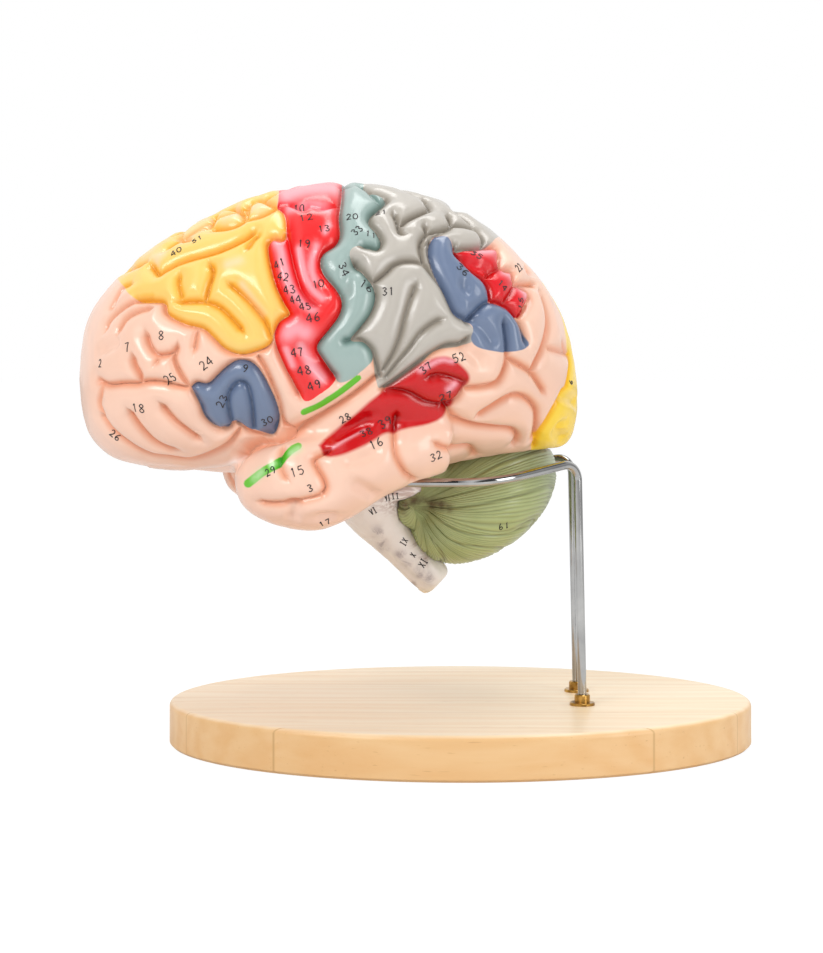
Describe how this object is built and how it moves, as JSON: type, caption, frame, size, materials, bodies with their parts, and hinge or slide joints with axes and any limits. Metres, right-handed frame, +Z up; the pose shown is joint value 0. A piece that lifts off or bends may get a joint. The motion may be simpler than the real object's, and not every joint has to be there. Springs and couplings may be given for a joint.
{
  "type": "brain anatomy model",
  "caption": "Enlarged teaching model of a human brain with furrowed halves, cerebellum and brainstem that plug together, held by a wire loop cradle on an oval wooden base.",
  "frame": {"origin": "centre of the base board's underside", "axes": "+Z up, +X along the board's length towards the back of the head and the cradle's uprights, -Y towards the left half of the brain"},
  "size_m": [0.3901, 0.24, 0.3255],
  "materials": {
    "board_wood": "satin lacquer",
    "chrome_wire": "polished",
    "turned_brass": "turned",
    "plated_steel": "plated",
    "cortex_plastic": "painted and lacquered",
    "stem_plastic": "painted and lacquered",
    "cerebellum_plastic": "painted and lacquered"
  },
  "bodies": {
    "root": {"base_board": "board_wood", "cradle_wire": "chrome_wire", "bushing_left": "turned_brass", "bushing_right": "turned_brass", "washer_left": "plated_steel", "washer_right": "plated_steel", "nut_left": "plated_steel", "nut_right": "plated_steel", "right_hemisphere": "cortex_plastic", "hemisphere_pin_front": "plated_steel", "hemisphere_pin_top": "plated_steel", "hemisphere_pin_rear": "plated_steel", "brainstem_pin_front": "plated_steel", "brainstem_pin_rear": "plated_steel"},
    "left_half": {"left_hemisphere": "cortex_plastic"},
    "stem": {"brainstem": "stem_plastic", "cerebellum_pin_left": "plated_steel", "cerebellum_pin_right": "plated_steel"},
    "little_brain": {"cerebellum": "cerebellum_plastic"}
  },
  "joints": [
    {"name": "left_half_slide", "type": "slide", "parent": "root", "child": "left_half", "axis": [0.1392, -0.9903, 0], "range_m": [0, 0.012]},
    {"name": "brainstem_slide", "type": "slide", "parent": "root", "child": "stem", "axis": [0, 0, -1], "range_m": [0, 0.009]},
    {"name": "cerebellum_slide", "type": "slide", "parent": "stem", "child": "little_brain", "axis": [0.9903, 0.1392, 0], "range_m": [0, 0.008]}
  ]
}
